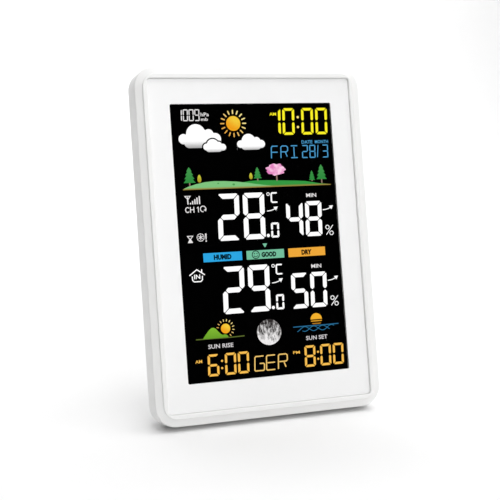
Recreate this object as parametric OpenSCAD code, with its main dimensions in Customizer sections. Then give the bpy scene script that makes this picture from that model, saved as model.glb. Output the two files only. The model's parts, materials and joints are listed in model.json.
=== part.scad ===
// Desktop weather station: an upright console with a colour display, a folding stand and rear keys.
// It is drawn upright, front face at y = 0 and base at z = 0, then leaned back onto its stand.

/* [Case] */
// Width of the case
body_w = 136.5; // [125:0.5:150]
// Height of the case
body_h = 200; // [185:0.5:220]
// Depth from the rim's crest to the rear wall
body_d = 25; // [24:0.1:30]
// Outer corner radius
corner_r = 12; // [11:0.5:16]
// How far the side walls run back from the rim's crest
skirt_d = 16.3; // [15:0.1:18]
// Wall thickness
wall = 2; // [1.8:0.1:2.5]
// Inset of the rear cover from the side walls
cover_in = 3.5; // [3:0.1:4]
// Rounding of the rear cover's edge
cover_r = 3; // [2:0.1:4]
// Angle the console leans back on its stand
lean_deg = 11.5; // [9:0.1:14]

/* [Bezel] */
// Width of the sloped border outside the rim
slope_w = 4.2; // [3:0.1:5]
// Drop of the border's outer edge behind the rim's crest
slope_d = 2.4; // [1.8:0.1:3]
// Height of the rim over the border
rim_step = 1.1; // [0.8:0.1:1.4]
// Width of the rim
rim_w = 2.75; // [2:0.05:4]
// Depth of the window's face behind the rim's crest
window_set = 1.5; // [1:0.1:2]

/* [Display] */
// Width of the display's visible area
view_w = 97.9; // [90:0.1:100]
// Height of the display's visible area
view_h = 155.9; // [150:0.1:160]
// Height of the visible area's centre over the case's centre
view_up = 0.7; // [0:0.1:2]
// Thickness of the clear window
window_t = 1.5; // [1:0.1:1.5]

/* [Stand] */
// Width of the stand
stand_w = 56; // [44:1:58]
// Thickness of the stand
stand_t = 4; // [3:0.1:4.5]
// Height of the stand's pin over the case's base
pin_up = 80; // [70:0.5:82]
// Radius of the stand's pin
pin_r = 1; // [0.8:0.05:1.2]
// Length of the heel over the pin that stops the stand
heel = 3.4; // [3:0.1:4]

/* [Batteries] */
// Radius of a battery
cell_r = 5.25; // [5:0.05:5.25]
// Length of a battery
cell_len = 44.5; // [43:0.1:45]
// Distance between batteries
cell_pitch = 11.5; // [11:0.1:12]
// Height of the battery bay's centre
bay_up = 159.25; // [158:0.25:162]

/* [Keys] */
// Radius of a rear key
key_r = 4; // [3:0.1:4.5]
// Height of the row of rear keys
key_up = 124; // [122:0.5:126]
// Distance between rear keys
key_pitch = 14; // [12:0.5:15]
// Travel of a rear key
key_travel = 0.8; // [0.5:0.1:0.8]
// Width of the top key
bar_w = 40; // [30:1:48]
// Travel of the top key
bar_travel = 0.5; // [0.3:0.1:0.5]

/* [Wall hanging] */
// Distance between the two keyholes
hook_gap = 96; // [90:1:98]
// Height of the keyholes' round openings
hook_up = 166; // [160:1:170]
// Radius of a keyhole's round opening
hook_r = 4.2; // [3.5:0.1:4.5]
// Half width of a keyhole's slot
hook_slot = 2.2; // [1.8:0.1:2.4]

/* [Hidden] */
$fn = 48;
eps = 0.01;
gap = 0.05;
mid_z = body_h / 2;
recess_in = slope_w + rim_w;
recess_w = body_w - 2 * recess_in;
recess_h = body_h - 2 * recess_in;
window_back = window_set + window_t;
ledge_y = window_back + 0.2;
ledge_back = ledge_y + wall;
view_z = mid_z + view_up;
inner_y = body_d - wall;
cover_w = body_w - 2 * cover_in;
cover_h = body_h - 2 * cover_in;
lip_y = skirt_d - wall;
screw_x = 59.5;
cover_screw_z = [14, mid_z, body_h - 14];
holder_screw_z = [50, 150];
board_y = 13.4;
board_back = board_y + 1.6;
// Pads under the base and the angle at which the stand's nose meets the same floor
pad_y = 15.8;
pad_t = 0.4;
floor_z = pad_y * sin(lean_deg) + pad_t * cos(lean_deg);
pin_y = body_d - stand_t / 2;
nose_r = stand_t / 2;
leg = pin_up - 0.6 - nose_r;
pin_height = pin_up * cos(lean_deg) - pin_y * sin(lean_deg) + floor_z;
open_deg = acos((pin_height - nose_r) / leg) + lean_deg;
pocket_y = pin_y - nose_r * cos(open_deg) - heel * sin(open_deg) - gap;
pocket_top = pin_up + norm([nose_r, heel]) + 0.2;
// Front-most and rear-most points of the leaned case
front_y = 0.6 * cos(lean_deg) + (slope_w + 0.6) * sin(lean_deg) - 0.6;
rear_y = (body_d - cover_r) * cos(lean_deg) + (body_h - cover_in - cover_r) * sin(lean_deg) + cover_r;
bay_w = cell_len + 6;
bay_h = 2 * cell_pitch + 2 * cell_r + 1.8;
bay_floor = 12.8;
cell_y = 18.2;
door_w = bay_w + 6;
door_h = bay_h + 5.5;
door_t = 1.5;
door_pin = [body_d - door_t / 2, bay_up - door_h / 2 + door_t / 2];
sensor_pin_x = [36.4, 55.6];
key_x = [for (i = [0 : 5]) (i - 2.5) * key_pitch];

module lean() translate([0, -(front_y + rear_y) / 2, floor_z]) rotate([-lean_deg, 0, 0]) children();
module swing(angle, y, z) translate([0, y, z]) rotate([angle, 0, 0]) translate([0, -y, -z]) children();
module sides() for (m = [0, 1]) mirror([m, 0, 0]) children();

function unit(v) = v / norm(v);

// Piece that rounds the corner p of an outline whose neighbours are a and b
module tip(p, a, b, r) {
    ua = unit(a - p);
    ub = unit(b - p);
    half = acos(ua * ub) / 2;
    t = r / tan(half);
    c = p + unit(ua + ub) * r / sin(half);
    difference() {
        polygon([p - unit(ua + ub) * 0.2, p + ua * t, c, p + ub * t]);
        translate(c) circle(r);
    }
}

// Outline of points [u, y, r], each convex corner rounded by its r
module outline(points) {
    n = len(points);
    difference() {
        polygon([for (p = points) [p[0], p[1]]]);
        for (i = [0 : n - 1])
            if (points[i][2] > 0)
                tip([points[i][0], points[i][1]],
                    [points[(i + n - 1) % n][0], points[(i + n - 1) % n][1]],
                    [points[(i + 1) % n][0], points[(i + 1) % n][1]], points[i][2]);
    }
}

// Sweep of a section round a w by h rectangle with corner radius r, centred at z
module ring(w, h, r, z) translate([0, 0, z])
    for (m = [0, 1]) {
        mirror([m, 0, 0]) translate([-w / 2, 0, 0]) linear_extrude(h - 2 * r, center = true) children();
        mirror([0, 0, m]) translate([0, 0, -h / 2]) rotate([0, -90, 0])
            linear_extrude(w - 2 * r, center = true) children();
        for (n = [0, 1])
            mirror([m, 0, 0]) mirror([0, 0, n]) translate([w / 2 - r, 0, r - h / 2]) rotate([-90, 0, 0])
                rotate_extrude(angle = 90) translate([r, 0]) mirror([1, 0]) children();
    }

module pane(w, h, r) {
    square([w - 2 * r, h], center = true);
    square([w, h - 2 * r], center = true);
    for (a = [-1, 1], b = [-1, 1])
        translate([a * (w / 2 - r), b * (h / 2 - r)])
            circle(r);
}

// Sheet facing the front, from y0 to y1, centred at x = 0 and z
module sheet(w, h, r, y0, y1, z) translate([0, y1, z]) rotate([90, 0, 0])
    linear_extrude(y1 - y0) pane(w, h, r);

module slab(x0, x1, y0, y1, z0, z1) translate([x0, y0, z0]) cube([x1 - x0, y1 - y0, z1 - z0]);

// Round post along y
module post(r, y0, y1, x, z) translate([x, y1, z]) rotate([90, 0, 0]) cylinder(r = r, h = y1 - y0);

// Section drawn in y and z, extruded across x
module across(w) rotate([90, 0, 90]) linear_extrude(w, center = true) children();

// ---- Front of the console ----

module front_frame() color("white") lean() {
    difference() {
        union() {
            ring(body_w, body_h, corner_r, mid_z)
                outline([[0, skirt_d, 0.3], [0, slope_d, 0.9], [slope_w, rim_step, 0], [slope_w, 0, 0.6],
                    [10, 0, 0], [10, ledge_back, 0], [wall, ledge_back, 0], [wall, skirt_d, 0.3]]);
            sheet(body_w - 18, body_h - 18, 3, ledge_y, ledge_back, mid_z);
        }
        sheet(recess_w, recess_h, 2, -1, ledge_y, mid_z);
        ring(recess_w, recess_h, 2, mid_z) tip([0, 0], [-2, 0], [0, 2], 0.6);
        sheet(112, 177, 2, 1, ledge_back + 1, mid_z);
        slab(-bar_w / 2 - 0.1, bar_w / 2 + 0.1, 6.4, 12.6, body_h - 4, body_h + 1);
    }
    sides() for (z = cover_screw_z)
        difference() {
            post(3.2, ledge_back - eps, lip_y - 0.1, screw_x, z);
            post(1.15, ledge_back + 1, lip_y + 1, screw_x, z);
        }
    sides() for (z = holder_screw_z)
        difference() {
            post(2.8, ledge_back - eps, 8.1, screw_x, z);
            post(1.15, ledge_back + 0.4, 9, screw_x, z);
        }
    // Rails that carry the top key's board
    sides() {
        slab(13.1, 15.1, ledge_back - eps, 14, 189.3, 195.5);
        slab(11.6, 13.2, ledge_back - eps, 14, 189.3, 190.5);
    }
}

module window() color([0.9, 0.95, 1, 0.4]) lean()
    sheet(recess_w - 0.3, recess_h - 0.3, 1.9, window_set, window_back, mid_z);

module window_print() color("ivory") lean()
    difference() {
        sheet(recess_w - 0.3, recess_h - 0.3, 1.9, window_back, ledge_y, mid_z);
        sheet(view_w, view_h, 1, window_back - 1, ledge_y + 1, view_z);
    }

module dust_gasket() color("dimgray") lean()
    difference() {
        sheet(108, 170, 2, ledge_y, ledge_y + 0.5, view_z);
        sheet(view_w + 0.6, view_h + 0.6, 1.2, ledge_y - 1, ledge_y + 1, view_z);
    }

// ---- Display stack ----

module front_polarizer() color([0.05, 0.05, 0.06]) lean()
    sheet(101, 159, 0.5, 3.7, 3.9, view_z);

module front_glass() color([0.6, 0.7, 0.7, 0.5]) lean()
    slab(-52, 52, 3.9, 5, 19.7, 182.2);

module rear_glass() color([0.5, 0.65, 0.65, 0.5]) lean()
    slab(-52, 52, 5, 6.1, 24.9, 182.2);

module rear_polarizer() color([0.1, 0.1, 0.12]) lean()
    slab(-51, 51, 6.1, 6.3, 25.5, 181.4);

module colour_film() color("orange") lean()
    slab(-51, 51, 6.3, 6.5, 25.5, 181.4);

module diffuser() color("whitesmoke") lean()
    slab(-51, 51, 6.5, 6.8, 25.2, 181.4);

module light_guide() color([0.85, 0.95, 0.95, 0.6]) lean()
    slab(-51, 51, 6.8, 9.8, 24.9, 181.4);

module reflector() color("silver") lean()
    slab(-51, 51, 9.8, 10, 24.9, 181.4);

module led_strip() color("gold") lean() {
    slab(-50, 50, 6.9, 9.7, 182.3, 183.3);
    for (i = [-3 : 3])
        slab(i * 14 - 1.6, i * 14 + 1.6, 7.4, 9.2, 181.5, 182.4);
}

module display_holder() color("lightgray") lean()
    difference() {
        union() {
            sheet(111.2, 175.4, 2, 3.9, 11.3, view_z);
            sides() for (z = holder_screw_z)
                slab(50, screw_x + 3, 8.1, 9.7, z - 4, z + 4);
        }
        slab(-52.3, 52.3, 3, 10.1, 19.4, 183.6);
        slab(-22, 22, 9, 12, 20, 23.5);
        sides() for (z = holder_screw_z)
            post(1.15, 7, 11, screw_x, z);
    }

module screw(x, z, y0, y1, head_r, head_h) {
    post(1.1, y0, y1 + eps, x, z);
    difference() {
        post(head_r, y1, y1 + head_h, x, z);
        slab(x - 1.3, x + 1.3, y1 + head_h - 0.6, y1 + head_h + 1, z - 0.3, z + 0.3);
        slab(x - 0.3, x + 0.3, y1 + head_h - 0.6, y1 + head_h + 1, z - 1.3, z + 1.3);
    }
}

module holder_screws() color("silver") lean()
    for (x = [-screw_x, screw_x], z = holder_screw_z)
        screw(x, z, 5.9, 9.7, 2, 1.2);

module display_ribbon() color("tan") lean()
    across(38) polygon([[5.05, 24.2], [5.05, 20.2], [12.2, 20.2], [12.2, 90.5], [13.35, 91.6], [13.35, 95],
        [13.05, 95], [13.05, 91.7], [11.9, 90.6], [11.9, 20.5], [5.35, 20.5], [5.35, 24.2]]);

// ---- Electronics ----

module main_board() color("darkgreen") lean()
    difference() {
        slab(-55.5, 55.5, board_y, board_back, 90, 136);
        sides() {
            post(1.2, board_y - 1, board_back + 1, 52, 131.5);
            post(1.2, board_y - 1, board_back + 1, 33, 94);
        }
    }

module board_screws() color("silver") lean()
    for (x = [-1, 1]) {
        mirror([0, 1, 0]) screw(x * 52, 131.5, -20, -board_y, 2, 1.2);
        mirror([0, 1, 0]) screw(x * 33, 94, -20, -board_y, 2, 1.2);
    }

module controller() color("black") lean() {
    post(7, board_back, board_back + 0.8, 0, 104);
    post(5.5, board_back + 0.7, board_back + 1.5, 0, 104);
}

module crystal() color("silver") lean()
    translate([16, board_back + 1.5, 99]) cylinder(r = 1.5, h = 8);

module pressure_sensor() color("lightgray") lean()
    difference() {
        slab(-22, -17, board_back, board_back + 1.4, 108, 113);
        post(0.5, board_back + 0.8, board_back + 2, -19.5, 110.5);
    }

module key_switches() color("dimgray") lean()
    for (x = key_x) {
        slab(x - 3, x + 3, board_back, board_back + 3.5, key_up - 3, key_up + 3);
        post(1.75, board_back + 3.4, board_back + 4.3, x, key_up);
    }

module power_socket() color("black") lean() {
    difference() {
        slab(-54.5, -45.5, board_back, inner_y - 0.1, 97, 106);
        post(2.8, board_back + 1.5, inner_y + 1, -50, 101.5);
    }
    post(0.65, board_back + 1, inner_y - 1, -50, 101.5);
}

module buzzer() color([0.12, 0.12, 0.12]) lean()
    difference() {
        post(6, board_back, board_back + 6, 46, 104);
        post(1, board_back + 4, board_back + 7, 46, 104);
    }

module radio_board() color("seagreen") lean() {
    slab(24, 36, board_back + 0.4, board_back + 1.4, 102, 116);
    slab(27, 32, board_back + 1.3, board_back + 2.6, 106, 111);
    for (x = [25.2, 28.4, 31.6, 34.8])
        slab(x - 0.5, x + 0.5, board_back, board_back + 0.5, 102, 103);
}

module antenna() color("goldenrod") lean() {
    translate([41, board_back + 1.8, 112]) cylinder(r = 0.4, h = 74);
    translate([35, board_back + 1.8, 112]) rotate([-90, 0, 0])
        rotate_extrude(angle = 90) translate([6, 0]) circle(0.4);
    post(0.5, board_back + 1.4, board_back + 2.3, 34.9, 106);
}

module sensor_board() color("green") lean()
    difference() {
        slab(34.5, 57.5, 19.2, 20.2, 30, 46);
        for (x = sensor_pin_x)
            post(1.05, 19, 21, x, 38);
    }

module humidity_sensor() color("white") lean()
    difference() {
        slab(43.5, 48.5, 20.2, 21.8, 35.5, 40.5);
        post(1, 21, 22, 46, 38);
    }

// ---- Rear of the console ----

module rear_cover() color("gainsboro") lean() {
    difference() {
        union() {
            ring(cover_w, cover_h, corner_r - cover_in, mid_z)
                outline([[gap + wall - cover_in, lip_y, 0], [gap + wall - cover_in, skirt_d, 0.3],
                    [0, skirt_d, 0], [0, body_d, cover_r], [6, body_d, 0], [6, inner_y, 0],
                    [wall, inner_y, 0], [wall, lip_y, 0]]);
            sheet(cover_w - 10, cover_h - 10, 3, inner_y, body_d, mid_z);
            sides() {
                for (z = cover_screw_z)
                    post(3.4, lip_y, inner_y + 1, screw_x, z);
                post(2.6, board_back, inner_y + 1, 52, 131.5);
                post(2.6, board_back, inner_y + 1, 33, 94);
            }
            // Stand's pocket
            slab(-stand_w / 2 - 2.6, stand_w / 2 + 2.6, pocket_y - 1.6, inner_y + 1, cover_in + 1, pocket_top + 1.6);
            // Battery bay
            slab(-bay_w / 2 - 1.5, bay_w / 2 + 1.5, bay_floor - 1.3, inner_y + 1,
                bay_up - bay_h / 2 - 1.5, bay_up + bay_h / 2 + 1.5);
            // Bosses round the door's pins
            sides() slab(door_w / 2 + 0.2, door_w / 2 + 3, 21.6, inner_y + 1, door_pin[1] - 2, door_pin[1] + 2);
            for (x = sensor_pin_x) {
                post(1.7, 20.2, inner_y + 1, x, 38);
                post(1, 18.8, inner_y, x, 38);
            }
        }
        sides() for (z = cover_screw_z) {
            post(2.5, skirt_d, body_d + 1, screw_x, z);
            post(1.3, lip_y - 1, body_d, screw_x, z);
        }
        sides() {
            post(1.15, board_back - 1, inner_y - 1, 52, 131.5);
            post(1.15, board_back - 1, inner_y - 1, 33, 94);
        }
        // Stand's pocket, open at the base
        slab(-stand_w / 2 - 0.6, stand_w / 2 + 0.6, pocket_y, body_d + 1, -1, pocket_top);
        translate([0, pin_y, pin_up]) rotate([0, 90, 0])
            cylinder(r = pin_r, h = stand_w + 4.2, center = true);
        // Battery bay and the rebate its door lies in
        slab(-bay_w / 2, bay_w / 2, bay_floor, body_d + 1, bay_up - bay_h / 2, bay_up + bay_h / 2);
        slab(-door_w / 2 - 0.2, door_w / 2 + 0.2, body_d - door_t, body_d + 1,
            bay_up - door_h / 2 - 0.2, bay_up + door_h / 2 + 0.2);
        translate([0, door_pin[0], door_pin[1]]) rotate([0, 90, 0])
            cylinder(r = 0.55, h = door_w + 2.6, center = true);
        post(7, body_d - 1.3, body_d + 1, 0, bay_up + door_h / 2);
        for (x = key_x)
            post(key_r + 0.1, inner_y - 1, body_d + 1, x, key_up);
        // Keyholes for hanging on a wall
        for (x = [-hook_gap / 2, hook_gap / 2]) {
            post(hook_r, inner_y - 1, body_d + 1, x, hook_up);
            slab(x - hook_slot, x + hook_slot, inner_y - 1, body_d + 1, hook_up, hook_up + 9);
            post(hook_slot, inner_y - 1, body_d + 1, x, hook_up + 9);
        }
        // Air slots for the sensor, sound slots for the buzzer, power opening
        for (i = [-3 : 3])
            translate([46, body_d + 1, 38 + i * 3.4]) rotate([90, 0, 0])
                linear_extrude(wall + 2) pane(16, 1.6, 0.79);
        for (i = [-1 : 1])
            translate([46, body_d + 1, 104 + i * 3]) rotate([90, 0, 0])
                linear_extrude(wall + 2) pane(8, 1.4, 0.69);
        post(3.4, inner_y - 1, body_d + 1, -50, 101.5);
    }
    // Stops the closed stand lies on
    sides() slab(stand_w / 2 - 2.2, stand_w / 2 - 0.4, pocket_y - eps, body_d - stand_t - gap, 10, 14);
}

module cover_screws() color("silver") lean()
    for (x = [-screw_x, screw_x], z = cover_screw_z)
        screw(x, z, 6.6, skirt_d, 2.2, 1.3);

// Frame of each battery, its positive end towards +z, the middle one turned about
module cells() for (i = [-1 : 1])
    translate([0, cell_y, bay_up + i * cell_pitch]) rotate([0, i == 0 ? -90 : 90, 0]) children();

module contact_springs() color("silver") lean()
    cells() for (k = [0 : 5])
        translate([0, 0, -bay_w / 2 + 0.85 + k * 0.84]) rotate_extrude() translate([2.8, 0]) circle(0.45, $fn = 16);

module contact_plates() color("lightgray") lean()
    for (i = [-1 : 1], s = [-1, 1])
        translate([s * (bay_w / 2 - 0.2), cell_y, bay_up + i * cell_pitch])
            cube([0.4, 9, 9.4], center = true);

module batteries() color("slategray") lean()
    cells() translate([0, 0, bay_w / 2 - 0.4 - gap - cell_len]) {
        cylinder(r = cell_r, h = cell_len - 1);
        translate([0, 0, cell_len - 1 - eps]) cylinder(r = 1.9, h = 1 + eps);
    }

module battery_wires() color("red") lean()
    for (x = [-24, 24]) {
        translate([x, board_back + 0.65, 132.5]) cylinder(r = 0.6, h = bay_up - bay_h / 2 - 1.55 - 132.5);
        post(0.6, board_back, board_back + 0.65, x, 132.5 + 0.6);
    }

module top_key_board() color("darkgreen") lean() {
    slab(-13, 13, 6, 13.5, 190.6, 191.8);
    slab(-3, 3, 6.5, 12.5, 191.7, body_h - 5.1);
    translate([0, 9.5, body_h - 5.2]) cylinder(r = 1.75, h = 0.6);
}

module foot_pads() color([0.85, 0.85, 0.85]) lean()
    sides() translate([45, 0, 0]) across(16)
        polygon([[pad_y, -pad_t], [pad_y, 0], [pad_y - 3, 0], [pad_y - 3, -pad_t - 3 * tan(lean_deg)]]);

// ---- Moving pieces ----

module stand_pin() color("silver") lean()
    translate([0, pin_y, pin_up]) rotate([0, 90, 0]) cylinder(r = pin_r, h = stand_w + 4, center = true);

module stand() color("white") lean() swing(open_deg, pin_y, pin_up)
    difference() {
        across(stand_w) outline([[pin_y - nose_r, pin_up - leg, 0], [body_d, pin_up - leg, 0],
            [body_d, pin_up + heel, 0.8], [pin_y - nose_r, pin_up + heel, 0]]);
        for (x = [-17.4, 0, 17.4])
            slab(x - 8, x + 8, pin_y - nose_r - 1, pin_y + 0.4, pin_up - leg + 3, pin_up - 4);
        translate([0, pin_y, pin_up]) rotate([0, 90, 0])
            cylinder(r = pin_r + gap, h = stand_w + 2, center = true);
    }

module stand_foot() color([0.25, 0.25, 0.25]) lean() swing(open_deg, pin_y, pin_up)
    translate([0, pin_y, pin_up - leg]) difference() {
        rotate([0, 90, 0]) cylinder(r = nose_r, h = stand_w, center = true);
        slab(-stand_w, stand_w, -5, 5, 0, 5);
    }

module battery_door() color("white") lean() {
    difference() {
        union() {
            slab(-door_w / 2, door_w / 2, body_d - door_t, body_d, door_pin[1], bay_up + door_h / 2);
            translate([0, door_pin[0], door_pin[1]]) rotate([0, 90, 0])
                cylinder(r = door_t / 2, h = door_w, center = true);
        }
        for (i = [0 : 4])
            slab(-9, 9, body_d - 0.4, body_d + 1, bay_up + 6 + i * 2, bay_up + 6.9 + i * 2);
    }
    translate([0, door_pin[0], door_pin[1]]) rotate([0, 90, 0])
        cylinder(r = 0.5, h = door_w + 2.2, center = true);
}

module key(x) color("white") lean() {
    difference() {
        post(key_r, inner_y - 1.1, body_d + 1, x, key_up);
        post(key_r - 1, body_d + 0.6, body_d + 2, x, key_up);
    }
    post(key_r + 1.1, inner_y - 1.1, inner_y - 0.1, x, key_up);
    post(2, board_back + 4.35 + key_travel, inner_y - 1, x, key_up);
}

module key_1() key(key_x[0]);
module key_2() key(key_x[1]);
module key_3() key(key_x[2]);
module key_4() key(key_x[3]);
module key_5() key(key_x[4]);
module key_6() key(key_x[5]);

module top_key() color("white") lean() {
    translate([0, 9.5, body_h - wall - 1]) linear_extrude(wall + 1.6) pane(bar_w, 6, 1.5);
    translate([0, 9.5, body_h - wall - 1.1]) linear_extrude(1) pane(bar_w + 2.4, 7.6, 1.5);
    translate([0, 9.5, body_h - 4.6 + bar_travel + gap]) cylinder(r = 2, h = 2);
}

front_frame();
window();
window_print();
dust_gasket();
front_polarizer();
front_glass();
rear_glass();
rear_polarizer();
colour_film();
diffuser();
light_guide();
reflector();
led_strip();
display_holder();
holder_screws();
display_ribbon();
main_board();
board_screws();
controller();
crystal();
pressure_sensor();
key_switches();
power_socket();
buzzer();
radio_board();
antenna();
sensor_board();
humidity_sensor();
rear_cover();
cover_screws();
contact_springs();
contact_plates();
batteries();
battery_wires();
top_key_board();
stand_pin();
foot_pads();
stand();
stand_foot();
battery_door();
key_1();
key_2();
key_3();
key_4();
key_5();
key_6();
top_key();
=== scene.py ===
"""Desktop weather station: materials, display picture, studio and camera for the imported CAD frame.

Lengths are in metres unless a name ends in _MM or a comment says mm. Sections, in order: camera, materials,
display graphics, pictures, studio. Change a finish in FINISH, a light at the end, a display sign where it is
named.
"""
import json
from math import acos, atan2, cos, hypot, pi, radians, sin, sqrt

import bmesh
import bpy
from mathutils import Matrix, Vector


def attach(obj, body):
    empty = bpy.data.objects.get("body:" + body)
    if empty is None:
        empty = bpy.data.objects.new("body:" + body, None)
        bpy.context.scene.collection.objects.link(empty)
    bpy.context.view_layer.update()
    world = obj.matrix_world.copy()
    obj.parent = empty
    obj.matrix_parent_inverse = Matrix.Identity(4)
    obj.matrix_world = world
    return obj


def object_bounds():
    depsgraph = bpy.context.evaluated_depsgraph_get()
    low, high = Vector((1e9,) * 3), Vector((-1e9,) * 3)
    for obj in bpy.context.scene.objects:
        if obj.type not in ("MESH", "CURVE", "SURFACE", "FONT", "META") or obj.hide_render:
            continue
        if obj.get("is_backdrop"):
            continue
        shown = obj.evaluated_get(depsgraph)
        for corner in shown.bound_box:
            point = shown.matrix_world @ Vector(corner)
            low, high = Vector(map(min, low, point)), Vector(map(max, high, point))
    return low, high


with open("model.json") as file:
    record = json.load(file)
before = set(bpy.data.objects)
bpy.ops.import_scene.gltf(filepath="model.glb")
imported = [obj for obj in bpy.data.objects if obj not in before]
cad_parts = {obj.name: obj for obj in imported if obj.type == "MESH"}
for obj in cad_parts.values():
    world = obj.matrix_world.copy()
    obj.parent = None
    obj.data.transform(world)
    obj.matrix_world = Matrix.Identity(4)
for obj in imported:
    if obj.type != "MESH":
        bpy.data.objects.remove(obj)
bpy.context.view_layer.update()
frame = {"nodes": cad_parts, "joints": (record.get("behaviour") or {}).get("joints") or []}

scene = bpy.context.scene
MM = 0.001
LEAN = radians(11.5)
VIEW_W_MM, VIEW_H_MM = 97.9, 155.9
VIEW_MID_MM = 100.7
VIEW_LOW_MM = VIEW_MID_MM - VIEW_H_MM / 2
PANEL_Y_MM = 1.5
STAND_PIN_MM = (23.0, 80.0)
CHIP_TOP_MM = 182.28
SLEEVE_END_MM = 23.1

# The console's own frame: x across, y back from the rim's crest, z up the case, leaned back about x
stand_joint = [j for j in frame["joints"] if j["name"] == "stand_fold"][0]
pin = Vector(stand_joint["pos_m"])
TILT = Matrix.Rotation(-LEAN, 4, "X")
ORIGIN = pin - TILT @ Vector((0, STAND_PIN_MM[0] * MM, STAND_PIN_MM[1] * MM))
CASE = Matrix.Translation(ORIGIN) @ TILT


def case_point(x, y, z):
    """A point of the console's own frame, given in mm, in the row frame."""
    return CASE @ Vector((x * MM, y * MM, z * MM))


# ---------------------------------------------------------------- camera
AZIMUTH, ELEVATION = radians(-20.4), radians(9.0)
FOCAL_MM, SENSOR_MM = 78.34, 36.0
# Where the middle of the display's lower edge lies from the camera: right, down, forward
AIM_RIGHT, AIM_DOWN, AIM_FORWARD = 0.0119, 0.07165, 0.6169

forward = Vector((-sin(AZIMUTH) * cos(ELEVATION), cos(AZIMUTH) * cos(ELEVATION), -sin(ELEVATION)))
right = Vector((cos(AZIMUTH), sin(AZIMUTH), 0))
up = right.cross(forward)
aim = case_point(0, PANEL_Y_MM, VIEW_LOW_MM)
camera = bpy.data.objects.new("camera", bpy.data.cameras.new("camera"))
camera.data.lens = FOCAL_MM
camera.data.sensor_width = SENSOR_MM
camera.data.clip_start = 0.01
camera.location = aim - right * AIM_RIGHT + up * AIM_DOWN - forward * AIM_FORWARD
camera.rotation_euler = Matrix((right, up, -forward)).transposed().to_euler()
scene.collection.objects.link(camera)
scene.camera = camera
scene.view_settings.view_transform = "Standard"


# ---------------------------------------------------------------- node helpers
class Nodes:
    """Short way to build a material's node tree."""

    def __init__(self, name):
        self.mat = bpy.data.materials.new(name)
        self.mat.use_nodes = True
        self.tree = self.mat.node_tree
        self.tree.nodes.clear()
        self.out = self.tree.nodes.new("ShaderNodeOutputMaterial")

    def add(self, kind, inputs=None, **values):
        """New node; inputs maps a socket to a value or to the socket that drives it."""
        node = self.tree.nodes.new(kind)
        for key, value in values.items():
            setattr(node, key, value)
        for socket, item in (inputs or {}).items():
            if isinstance(item, bpy.types.NodeSocket):
                self.tree.links.new(item, node.inputs[socket])
            else:
                node.inputs[socket].default_value = item
        return node

    def math(self, operation, a, b=0.0):
        return self.add("ShaderNodeMath", operation=operation, inputs={0: a, 1: b}).outputs[0]

    def finish(self, shader):
        self.tree.links.new(shader, self.out.inputs["Surface"])
        return self.mat


def rgb(r, g, b):
    """sRGB 0-255 to a linear colour."""
    def lin(v):
        v /= 255
        return v / 12.92 if v <= 0.04045 else ((v + 0.055) / 1.055) ** 2.4
    return (lin(r), lin(g), lin(b), 1.0)


def case_coords(n):
    """Sockets x, y, z of the console's own frame, in metres."""
    tex = n.add("ShaderNodeTexCoord").outputs["Object"]
    mapping = n.add("ShaderNodeMapping", {"Vector": tex}, vector_type="TEXTURE")
    mapping.inputs["Location"].default_value = ORIGIN
    mapping.inputs["Rotation"].default_value = (-LEAN, 0, 0)
    return mapping.outputs[0], n.add("ShaderNodeSeparateXYZ", {0: mapping.outputs[0]}).outputs


def surface(name, color, roughness, grain=0.0, grain_size=0.00015, mottle=0.03, metallic=0.0,
            specular=0.5, mottle_size=0.02, smudge=0.06):
    """Opaque moulded, metal or rubber finish: mottled colour, smudged roughness, fine grain bump."""
    n = Nodes(name)
    tex = n.add("ShaderNodeTexCoord").outputs["Object"]
    large = n.add("ShaderNodeTexNoise", {"Vector": tex, "Scale": 1 / mottle_size, "Detail": 3.0}).outputs[0]
    fine = n.add("ShaderNodeTexNoise", {"Vector": tex, "Scale": 1 / grain_size, "Detail": 2.0}).outputs[0]
    dark = [c * (1 - mottle) for c in color[:3]] + [1]
    light = [min(1, c * (1 + mottle)) for c in color[:3]] + [1]
    mix = n.add("ShaderNodeMix", {0: large, 6: dark, 7: light}, data_type="RGBA")
    rough = n.add("ShaderNodeMapRange", {
        0: large, 3: max(0.03, roughness - smudge), 4: min(1, roughness + smudge)})
    bsdf = n.add("ShaderNodeBsdfPrincipled", {
        "Base Color": mix.outputs[2], "Roughness": rough.outputs[0], "Metallic": metallic,
        "Specular IOR Level": specular})
    if grain:
        bump = n.add("ShaderNodeBump", {"Strength": grain, "Distance": 0.00005, "Height": fine})
        n.tree.links.new(bump.outputs[0], bsdf.inputs["Normal"])
    return n.finish(bsdf.outputs[0])


def rect_distance(n, x, z, half_w, half_h, radius):
    """Signed distance, in metres, outside a rounded rectangle round the display's centre."""
    z = n.math("SUBTRACT", z, VIEW_MID_MM * MM)
    qx = n.math("SUBTRACT", n.math("ABSOLUTE", x), half_w - radius)
    qz = n.math("SUBTRACT", n.math("ABSOLUTE", z), half_h - radius)
    ax, az = n.math("MAXIMUM", qx, 0.0), n.math("MAXIMUM", qz, 0.0)
    length = n.math("SQRT", n.math("ADD", n.math("MULTIPLY", ax, ax), n.math("MULTIPLY", az, az)))
    inner = n.math("MINIMUM", n.math("MAXIMUM", qx, qz), 0.0)
    return n.math("SUBTRACT", n.math("ADD", length, inner), radius)


def step_mask(n, distance, soft_mm=0.06):
    """0 inside, 1 outside, over a short ramp."""
    soft = soft_mm * MM / 2
    ramp = n.add("ShaderNodeMapRange", {0: distance, 1: -soft, 2: soft, 3: 0.0, 4: 1.0})
    return ramp.outputs[0]


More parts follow.
